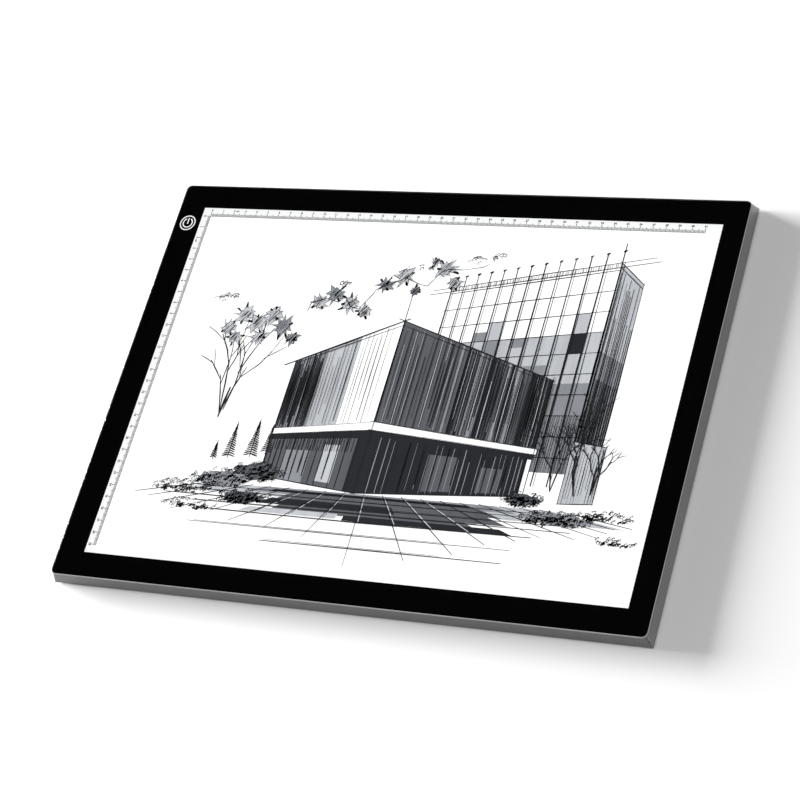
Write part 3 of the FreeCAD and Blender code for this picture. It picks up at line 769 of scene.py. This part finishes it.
def draw_tower(sketch):
    """The tall glazed block behind: a grid of panes, and a narrow side in shade."""
    corner = complex(13.4, 27.0)
    front = Wall(corner - cmath.rect(12.2, -TOWER_TURN), corner)
    side = Wall(corner, corner + cmath.rect(4.6, BOX_TURN))
    top = 17.6
    sketch.wash("white", front.patch(0, 1, 0, top))
    sketch.wash("pale", front.patch(0.1, 1, 3, 12.4))
    sketch.wash("cool", front.patch(0.42, 1, 2, 8.6))
    sketch.wash("pale", side.patch(0, 1, 0, top))
    sketch.wash("cool", side.patch(0, 1, 0, 11))
    for _ in range(16):
        left = sketch.random.randrange(3, 11) / 12
        low = 1.55 * sketch.random.randrange(3, 9)
        tone = sketch.random.choice(("cool", "cool", "pale", "dark"))
        sketch.wash(tone, front.patch(left, left + 1 / 12, low, low + 1.55 * sketch.random.choice((0.5, 1))))
    for number in range(13):
        along = number / 12
        tip = front.at(along, top + 0.9)
        sketch.line(front.at(along, 1), tip, 0.8, 0.8)
        sketch.line(front.at(along + 0.014, 1), front.at(along + 0.014, top), 0.4, 0.5)
        sketch.stroke([tip - 1.2 - 0.6j, tip, tip + 1.4 + 0.9j], 1.0)
    for number in range(2, 12):
        sketch.line(front.at(0, 1.55 * number), front.at(1, 1.55 * number), 0.5, 2.0)
    sketch.hatch(front.patch(0, 1, top - 0.4, top), 90, 0.22)
    sketch.hatch(front.patch(0.42, 1, 2, 6.2), 46, 0.3)
    for height in (top, top - 0.35):
        sketch.line(front.at(-0.12, height), front.at(1.16, height), 0.6, 6.0)
        sketch.line(side.at(0, height), side.at(1, height), 0.5, 2.0)
    sketch.line(front.at(1, 0), front.at(1, top + 1.4), 0.75, 1.0)
    sketch.line(side.at(1, 0), side.at(1, top), 0.5, 4.0)
    sketch.uprights(side, 15, 0.5, top, 0.35, skip=0.1)
    sketch.hatch(side.patch(0, 1, 0, 9), 26, 0.3)


def draw_box(sketch):
    """The clad upper storey over a glazed entrance."""
    corner = complex(-0.6, 20.0)
    left = Wall(corner, corner - cmath.rect(12.6, BOX_TURN - math.pi / 2))
    right = Wall(corner, corner + cmath.rect(17.0, BOX_TURN))
    foot, top = 3.9, 9.6
    for wall in (left, right):
        sketch.wash("white", wall.patch(0, 1, 0, top))
    sketch.wash("pale", left.patch(0.3, 0.62, foot, top))
    sketch.wash("cool", left.patch(0.62, 1, foot, top))
    sketch.wash("slate", right.patch(0, 1, foot, top))
    for number in range(26):
        along = number / 26
        shade = sketch.random.choice(("dark", "dark", "slate", "cool")) if along > 0.2 else "slate"
        sketch.wash(shade, right.patch(along, along + sketch.random.uniform(0.012, 0.036), foot, top))
    sketch.wash("slate", left.patch(0.08, 1, 0, 3.2))
    sketch.wash("dark", right.patch(0, 0.96, 0, 3.2))
    sketch.wash("cool", left.patch(0.7, 1.0, foot, top))
    sketch.wash("dark", left.patch(0.0, 0.08, 0, 3.2))
    sketch.wash("dark", left.patch(0.0, 1.0, 3.0, 3.45))
    sketch.wash("dark", right.patch(0.0, 1.0, 3.0, 3.45))
    sketch.wash("pale", left.patch(0.2, 0.34, 0.3, 2.6))
    sketch.wash("cool", left.patch(0.46, 0.74, 0.0, 2.2))
    sketch.wash("slate", right.patch(0.3, 0.46, 0.2, 2.5))
    sketch.wash("slate", right.patch(0.62, 0.78, 0.2, 2.0))
    for wall, reach in ((left, 1.02), (right, 1.02)):
        sketch.wash("white", wall.patch(-0.01, reach, 3.45, foot))
        sketch.line(wall.at(-0.01, foot), wall.at(reach, foot), 0.6, 3.0)
        sketch.line(wall.at(-0.01, 3.45), wall.at(reach, 3.45), 0.75, 1.0)
        sketch.line(wall.at(0, top), wall.at(1, top), 0.8, 14.0)
        sketch.line(wall.at(0, top - 0.25), wall.at(1, top - 0.25), 0.4, 1.0)
        sketch.line(wall.at(0, 0), wall.at(1, 0), 0.7, 5.0)
        sketch.line(wall.at(1, 0), wall.at(1, top), 0.6, 3.0)
    sketch.line(left.at(0, 0), left.at(0, top), 0.9, 2.0)
    sketch.line(left.at(0, foot), left.at(0, top + 1.6), 0.5, 4.0)
    sketch.uprights(left, 30, foot, top, 0.4, skip=0.12)
    sketch.uprights(left, 34, foot, top, 0.5, start=0.62)
    sketch.uprights(right, 46, foot, top, 0.5)
    sketch.uprights(right, 24, foot, top, 0.6, start=0.25, skip=0.2)
    sketch.uprights(right, 30, foot, top, 0.28, tone="pale", skip=0.35)
    sketch.uprights(left, 14, 0, 3.1, 0.75, start=0.08)
    sketch.uprights(right, 26, 0, 3.1, 0.4, tone="cool", skip=0.1, start=0.05, end=0.95)
    sketch.uprights(right, 13, 0, 3.1, 0.9, start=0.05, end=0.95)
    sketch.hatch(left.patch(0.1, 0.9, 2.2, 3.4), 34, 0.4)
    wing = Wall(complex(12.6, 25.6), complex(16.4, 28.4))
    sketch.wash("pale", wing.patch(0, 1, 0, 4.2))
    sketch.uprights(wing, 12, 0, 4.2, 0.4)
    sketch.outline(wing.patch(0, 1, 0, 4.2), 0.5)


def draw_paving(sketch):
    """Slabs that run to the vanishing point, with the entrance mirrored in them."""
    for tone, left, right, near, far in (
            ("pale", -7.6, -1.5, 15.0, 19.4), ("pale", 5.0, 9.4, 14.0, 19.6), ("cool", -5.2, 6.6, 16.4, 19.6),
            ("dark", -4.4, 5.0, 17.2, 18.6), ("slate", -3.3, 5.2, 14.2, 17.2),
            ("dark", -3.5, 3.2, 12.6, 14.6), ("slate", 1.2, 4.7, 12.2, 14.6),
            ("slate", -2.7, 3.4, 11.2, 12.6), ("dark", -0.4, 4.2, 10.4, 11.4),
            ("pale", -3.4, -0.6, 10.6, 11.6)):
        sketch.wash(tone, [seen(left, near, 0), seen(right, near, 0),
                           seen(right, far, 0), seen(left, far, 0)])
    for number in range(-8, 11):
        near = sketch.random.uniform(5.9, 7.2) + abs(number) * 0.75
        tone = "pale" if abs(number) < 4 else "ink"
        sketch.line(seen(number, near, 0), seen(number, 19.8, 0), 0.45, 1.0)
        if tone == "pale":
            sketch.line(seen(number + 0.07, 10.2, 0), seen(number + 0.07, 18, 0), 0.45, 1.0, tone)
    for depth, left, right in ((17.4, -8, 9), (15.6, -8.6, 8.4), (13.6, -7, 7.6),
                               (12.0, -5.4, 6.2), (10.4, -4.4, 4.6),
                               (8.4, -3.6, 3.4), (7.1, -1.6, 2.8)):
        sketch.line(seen(left, depth, 0), seen(right, depth, 0), 0.5, 8.0)
        sketch.line(seen(left, depth + 0.12, 0), seen(right * 0.6, depth + 0.12, 0), 0.3, 3.0)


def draw_planting(sketch):
    """Shrubs, firs, a tall tree at the left, bare trees at the right and a leafy spray over the roof."""
    for x, y, width, height, marks, tone in (
            (-92, -76, 24, 9, 90, "slate"), (-118, -83, 26, 8, 90, "cool"), (-148, -92, 26, 6, 60, None),
            (-96, -97, 24, 6, 80, "slate"), (-140, -106, 26, 4, 40, None), (122, -80, 16, 6, 60, "slate"),
            (150, -93, 28, 6, 100, "cool"), (186, -88, 22, 4, 50, None), (196, -106, 16, 3, 26, None)):
        centre = complex(x, y)
        if tone:
            edge = [centre + complex(math.cos(turn) * width, math.sin(turn) * height)
                    * sketch.random.uniform(0.6, 0.95)
                    for turn in (number * math.pi / 9 for number in range(18))]
            sketch.wash(tone, edge)
        sketch.scribble(centre, width, height, marks)
        sketch.scribble(centre - 2j, width * 0.8, height * 0.6, marks // 2, 1.5, 0.7)
    for x, foot, height in ((-131, -68, 15), (-119, -66, 30), (-101, -64, 32), (-89, -60, 24)):
        sketch.line(complex(x, foot), complex(x, foot + height), 0.6)
        for number in range(height // 2):
            reach = (1 - 2 * number / height) * height * 0.17
            for side in (-1, 1):
                start = complex(x, foot + 3 + number * 1.8)
                sketch.line(start, start + complex(side * reach, -1.6), 0.75, 0.8)
    for turn, length in ((1.85, 34), (1.7, 44), (1.5, 46), (1.32, 40)):
        foot = complex(-138, -28) + sketch.spread(1.0)
        sketch.branch(foot, cmath.rect(1, turn), length, 0.9, 2)
    sketch.line(complex(-138, -30), complex(-136, -8), 1.2, 3.0)
    for x, y, size in ((-154, 44, 7), (-144, 56, 8), (-131, 50, 9),
                       (-119, 58, 8), (-108, 48, 9), (-98, 38, 6),
                       (-126, 38, 7), (-146, 36, 6)):
        sketch.leaves(complex(x, y), size, 9)
    for x, y, size in ((-84, 70, 7), (-72, 78, 8), (-58, 70, 8), (-45, 64, 6),
                       (-34, 88, 7), (-20, 96, 8), (-8, 84, 5),
                       (12, 104, 8), (22, 92, 6), (2, 110, 4)):
        sketch.leaves(complex(x, y), size, 9)
    spray = [(-92, 62), (-78, 74), (-64, 76), (-50, 66), (-40, 84),
             (-24, 92), (-6, 90), (8, 100), (26, 104), (46, 110)]
    for start, end in zip(spray, spray[1:]):
        middle = blend(complex(*start), complex(*end), 0.5) + sketch.spread(3)
        sketch.stroke([complex(*start), middle, complex(*end)], 0.5)
    for x, y in ((-168, 68), (-160, 72), (36, 112), (52, 116), (-4, 104), (-66, 88)):
        sketch.scribble(complex(x, y), 6, 3, 7, 3.0)
    for x, foot, length in ((140, -72, 26), (158, -74, 32), (170, -72, 22)):
        for _ in range(2):
            sketch.branch(complex(x, foot),
                          cmath.rect(1, math.pi / 2 + sketch.random.uniform(-0.22, 0.22)), length,
                          0.8, 3)


def sideways(points, index):
    """The unit step to the left of a stroke at one of its points."""
    before, after = points[max(index - 1, 0)], points[min(index + 1, len(points) - 1)]
    way = after - before
    return 1j * way / max(abs(way), 0.001)


def film(name, marks, base, material, slot):
    """Turns marks of one tone into thin films of ink stacked over the sheet."""
    builder = bmesh.new()
    across = {}
    for level, points, width in marks:
        z = base + level * LEVEL_STEP
        if width is None:
            builder.faces.new([builder.verts.new((point.real * MM, point.imag * MM, z)) for point in points])
            continue
        last = None
        for index, point in enumerate(points):
            taper = 0.6 if index in (0, len(points) - 1) else 1.0
            step = sideways(points, index) * width * taper
            corner = point - step / 2
            vertex = builder.verts.new((corner.real * MM, corner.imag * MM, z))
            across[vertex] = Vector((step.real * MM, step.imag * MM, 0))
            if last:
                builder.edges.new((last, vertex))
            last = vertex
    strokes = [edge for edge in builder.edges if edge.is_wire]
    ribbon = bmesh.ops.extrude_edge_only(builder, edges=strokes)["geom"]
    copies = {item for item in ribbon if isinstance(item, bmesh.types.BMVert)}
    for vertex, step in across.items():
        for edge in vertex.link_edges:
            twin = edge.other_vert(vertex)
            if twin in copies:
                twin.co = vertex.co + step
    raised = bmesh.ops.extrude_face_region(builder, geom=builder.faces[:])["geom"]
    tops = [item for item in raised if isinstance(item, bmesh.types.BMVert)]
    bmesh.ops.translate(builder, verts=tops, vec=(0, 0, FILM_DEPTH))
    bmesh.ops.recalc_face_normals(builder, faces=builder.faces)
    piece_from(name, builder, material)


# Settings a user may change

class LightBoxEdges(bpy.types.PropertyGroup):
    housing: bpy.props.FloatProperty(
        name="Housing edge", description="Radius of the rounded edges of rails and plate",
        default=0.25 * MM, unit="LENGTH")
    panel: bpy.props.FloatProperty(
        name="Panel edge", description="Radius of the polished edge of the front panel",
        default=0.12 * MM, unit="LENGTH")
    segments: bpy.props.IntProperty(
        name="Segments", description="Facets across each rounded edge", default=2, min=1)


class LightBoxNumbers(bpy.types.PropertyGroup):
    height: bpy.props.FloatProperty(
        name="Number height", description="Type size of the ruler numbers", default=2.5 * MM, unit="LENGTH")
    from_edge: bpy.props.FloatProperty(
        name="From window edge", description="Distance of the numbers' middle from the window's edge",
        default=2.3 * MM, unit="LENGTH")
    pitch: bpy.props.FloatProperty(
        name="Pitch", description="Distance between two numbers", default=10.0 * MM, unit="LENGTH")
    top_count: bpy.props.IntProperty(name="Top numbers", description="Numbers on the top scale", default=42)
    left_count: bpy.props.IntProperty(
        name="Left numbers", description="Numbers on the left scale", default=30)


class LightBoxSketch(bpy.types.PropertyGroup):
    sheet: bpy.props.FloatVectorProperty(
        name="Sheet", description="Length, width and thickness of the paper",
        default=(0.418, 0.294, 0.0001),
        subtype="XYZ", unit="LENGTH")
    margin: bpy.props.FloatProperty(
        name="Margin", description="Gap between the rulers and the paper", default=1.8 * MM, unit="LENGTH")
    seed: bpy.props.IntProperty(name="Seed", description="Start of the hand's small chances", default=11)


class LightBoxStage(bpy.types.PropertyGroup):
    target: bpy.props.FloatVectorProperty(
        name="Target", description="Point that the camera looks at",
        default=(6.0 * MM, -8.0 * MM, PANEL_HIGH.z),
        subtype="TRANSLATION", unit="LENGTH")
    distance: bpy.props.FloatProperty(
        name="Distance", description="Camera to target", default=1.8168, unit="LENGTH")
    azimuth: bpy.props.FloatProperty(
        name="Azimuth", description="Direction of the camera round the vertical, from +X",
        default=math.radians(-43.91), subtype="ANGLE")
    elevation: bpy.props.FloatProperty(
        name="Elevation", description="Height of the camera over the horizon",
        default=math.radians(52.87), subtype="ANGLE")
    roll: bpy.props.FloatProperty(
        name="Roll", description="Turn of the camera about its own axis",
        default=math.radians(-35.72), subtype="ANGLE")
    lens: bpy.props.FloatProperty(name="Lens", description="Focal length in millimetres", default=112.54)
    floor_colour: bpy.props.FloatVectorProperty(
        name="Floor colour", description="Colour of the plain floor",
        default=(0.88, 0.88, 0.88), subtype="COLOR")


# Operators

class SoftenHousing(bpy.types.Operator):
    """Rounds the edges of the rails, plate, panel, feet and socket"""

    bl_idname = "light_box.soften_housing"
    bl_label = "Soften housing"

    def execute(self, context):
        edges = context.scene.light_box_edges
        for side in ("front", "rear", "left", "right"):
            softened("rail_" + side, "frame_rail_" + side, edges.housing, edges.segments)
        softened("rear_plate", "underside_plate", edges.housing, edges.segments)
        softened("front_panel", "clear_panel", edges.panel, edges.segments)
        softened("dc_socket_body", "power_socket", edges.panel, edges.segments)
        for number in range(1, 7):
            node = "foot_" + str(number)
            softened(node, "rubber_" + node, edges.housing, edges.segments)
        return {"FINISHED"}


class PrintNumbers(bpy.types.Operator):
    """Prints the centimetre numbers beside the two ruler scales"""

    bl_idname = "light_box.print_numbers"
    bl_label = "Print ruler numbers"

    def execute(self, context):
        numbers = context.scene.light_box_numbers
        tick = (LEFT_SCALE_HIGH.y - LEFT_SCALE_LOW.y) - (numbers.left_count - 1) * numbers.pitch
        zero_x = PRINT_LOW.x + tick / 2
        zero_y = LEFT_SCALE_HIGH.y - tick / 2
        self.row("ruler_numbers_top", numbers, numbers.top_count, zero_x,
                 WINDOW_REAR - numbers.from_edge, 0.0)
        self.row("ruler_numbers_left", numbers, numbers.left_count, WINDOW_LEFT + numbers.from_edge, zero_y,
                 -math.pi / 2)
        return {"FINISHED"}

    def row(self, name, numbers, count, x, y, angle):
        """One line of numbers from a start point, running and read along angle."""
        builder = bmesh.new()
        turn = Matrix.Rotation(angle, 4, "Z")
        for number in range(count):
            step = turn @ Vector((number * numbers.pitch, 0, 0))
            self.stamp(builder, str(number), numbers.height, Vector((x, y, 0)) + step, turn)
            if number == 2:
                unit_step = turn @ Vector(((number + 0.3) * numbers.pitch, 0, 0))
                self.stamp(builder, "cm", numbers.height * 0.9, Vector((x, y, 0)) + unit_step, turn)
        bmesh.ops.translate(builder, verts=builder.verts, vec=(0, 0, PRINT_LOW.z))
        film = bmesh.ops.extrude_face_region(builder, geom=builder.faces[:])
        raised = [item for item in film["geom"] if isinstance(item, bmesh.types.BMVert)]
        bmesh.ops.translate(builder, verts=raised, vec=(0, 0, PRINT_HIGH.z - PRINT_LOW.z))
        bmesh.ops.recalc_face_normals(builder, faces=builder.faces)
        piece = piece_from(name, builder, finish_for("ruler_scale_top"))

    def stamp(self, builder, words, height, place, turn):
        mesh = text_mesh(words, height)
        mesh.transform(Matrix.Translation(place) @ turn)
        builder.from_mesh(mesh)
        bpy.data.meshes.remove(mesh)


class DrawSketch(bpy.types.Operator):
    """Lays a sheet of paper on the lit face and draws a building on it in pen and marker"""

    bl_idname = "light_box.draw_sketch"
    bl_label = "Draw sketch"

    def execute(self, context):
        settings = context.scene.light_box_sketch
        size = Vector(settings.sheet)
        self.paper(settings, size)
        sketch = Sketch(settings.seed)
        for draw in (draw_tower, draw_box, draw_paving, draw_planting):
            draw(sketch)
        for tone, slot in TONES.items():
            film("sketch_" + tone, sketch.marks[tone], PANEL_HIGH.z + size.z, finish("sketch_" + tone), slot)
        return {"FINISHED"}

    def paper(self, settings, size):
        left = LEFT_SCALE_HIGH.x + settings.margin
        rear = PRINT_LOW.y - settings.margin
        centre = Vector((left + size.x / 2, rear - size.y / 2, PANEL_HIGH.z + size.z / 2))
        builder = bmesh.new()
        bmesh.ops.create_cube(
            builder, size=1.0, matrix=Matrix.Translation(centre) @ Matrix.Diagonal((*size, 1.0)))
        piece_from("paper_sheet", builder, finish("paper"))


class FinishParts(bpy.types.Operator):
    """Gives every CAD node that still shows the finish of its slot"""

    bl_idname = "light_box.finish_parts"
    bl_label = "Finish parts"

    def execute(self, context):
        for name, node in NODES.items():
            dress(node, finish_for(name))
        return {"FINISHED"}


# The room: the sine of the height at which its pale wall starts to darken, how far on it is
# dark, and the two greys.
WALL_TOP = 0.34
WALL_FADE = 0.26
WALL_LEVEL = 0.5
CEILING_LEVEL = 0.015

# The floor's radius, and where it starts to fade into the wall, in metres.
FLOOR_RADIUS = 4.0
FADE_START = 1.6

# Each lamp's name, place, aim, width and height in metres, and power in watts.
LAMPS = (
    ("overhead", (0.75, -0.8, 2.6), (0.1, -0.1, 0.0), 3.0, 3.0, 42.0),
    ("low_side", (-3.85, 0.75, 0.85), (0.3, -0.05, 0.1), 2.2, 1.25, 680.0),
)


class SetStage(bpy.types.Operator):
    """Adds the floor, the lamps and the camera"""

    bl_idname = "light_box.set_stage"
    bl_label = "Set stage"

    def execute(self, context):
        stage = context.scene.light_box_stage
        self.floor(stage)
        self.world(context.scene)
        for lamp in LAMPS:
            self.lamp(*lamp)
        self.camera(context.scene, stage)
        context.scene.view_settings.view_transform = "Standard"
        context.scene.view_settings.look = "None"
        return {"FINISHED"}

    def floor(self, stage):
        builder = bmesh.new()
        bmesh.ops.create_circle(builder, cap_ends=True, segments=64, radius=FLOOR_RADIUS)
        mesh = bpy.data.meshes.new("floor")
        builder.to_mesh(mesh)
        builder.free()
        floor = bpy.data.objects.new("floor", mesh)
        bpy.context.scene.collection.objects.link(floor)
        paint = Paint("floor_pale")
        cloud = paint.noise(3.0, detail=4.0)
        pale = (*stage.floor_colour, 1.0)
        x, y, _ = paint.axes()
        reach = paint.maths("SQRT", x * x + y * y)
        fade = paint.mix((reach - FADE_START) / (FLOOR_RADIUS - FADE_START), grey(1.0), grey(0.0))
        dress(floor, paint.finish(paint.principled(
            Base_Color=paint.mix(cloud, pale, grey(stage.floor_colour[0] * 1.02)),
            Roughness=paint.between(cloud, 0.85, 0.95),
            Specular_IOR_Level=0.1,
            Alpha=fade)))

    def world(self, scene):
        """A room with pale walls, dark overhead so that level gloss stays deep."""
        scene.world = bpy.data.worlds.new("studio")
        paint = Paint("studio", scene.world)
        up = paint.axes(output="Generated")[2]
        shade = (up - WALL_TOP) / WALL_FADE
        pale = paint.mix(shade, grey(WALL_LEVEL), grey(CEILING_LEVEL))
        paint.finish(paint.node("ShaderNodeBackground", {}, {"Color": pale}), "ShaderNodeOutputWorld")

    def lamp(self, name, place, aim, width, height, power):
        data = bpy.data.lights.new(name, "AREA")
        data.shape = "RECTANGLE"
        data.size = width
        data.size_y = height
        data.energy = power
        lamp = bpy.data.objects.new(name, data)
        lamp.location = place
        lamp.rotation_euler = (Vector(aim) - Vector(place)).to_track_quat("-Z", "Y").to_euler()
        bpy.context.scene.collection.objects.link(lamp)

    def camera(self, scene, stage):
        flat = math.cos(stage.elevation)
        out = Vector((flat * math.cos(stage.azimuth), flat * math.sin(stage.azimuth),
                      math.sin(stage.elevation)))
        data = bpy.data.cameras.new("camera")
        data.lens = stage.lens
        data.clip_end = 50.0
        camera = bpy.data.objects.new("camera", data)
        level = (-out).to_track_quat("-Z", "Y").to_matrix().to_4x4()
        place = Vector(stage.target) + out * stage.distance
        camera.matrix_world = Matrix.Translation(place) @ level @ Matrix.Rotation(stage.roll, 4, "Z")
        scene.collection.objects.link(camera)
        scene.camera = camera


class LightBoxPanel(bpy.types.Panel):
    bl_idname = "VIEW3D_PT_light_box"
    bl_label = "Light box"
    bl_space_type = "VIEW_3D"
    bl_region_type = "UI"
    bl_category = "Light box"

    def draw(self, context):
        for operator in OPERATORS:
            self.layout.operator(operator.bl_idname)


OPERATORS = (SoftenHousing, PrintNumbers, DrawSketch, FinishParts, SetStage)
SETTINGS = {
    "light_box_edges": LightBoxEdges,
    "light_box_numbers": LightBoxNumbers,
    "light_box_sketch": LightBoxSketch,
    "light_box_stage": LightBoxStage,
}


def register():
    for kind in (*SETTINGS.values(), *OPERATORS, LightBoxPanel):
        bpy.utils.register_class(kind)
    for name, kind in SETTINGS.items():
        setattr(bpy.types.Scene, name, bpy.props.PointerProperty(type=kind))


def unregister():
    for name in SETTINGS:
        delattr(bpy.types.Scene, name)
    for kind in reversed((*SETTINGS.values(), *OPERATORS, LightBoxPanel)):
        bpy.utils.unregister_class(kind)


def main():
    register()
    bpy.ops.light_box.soften_housing()
    bpy.ops.light_box.print_numbers()
    bpy.ops.light_box.draw_sketch()
    bpy.ops.light_box.finish_parts()
    bpy.ops.light_box.set_stage()


if __name__ == "__main__":
    main()
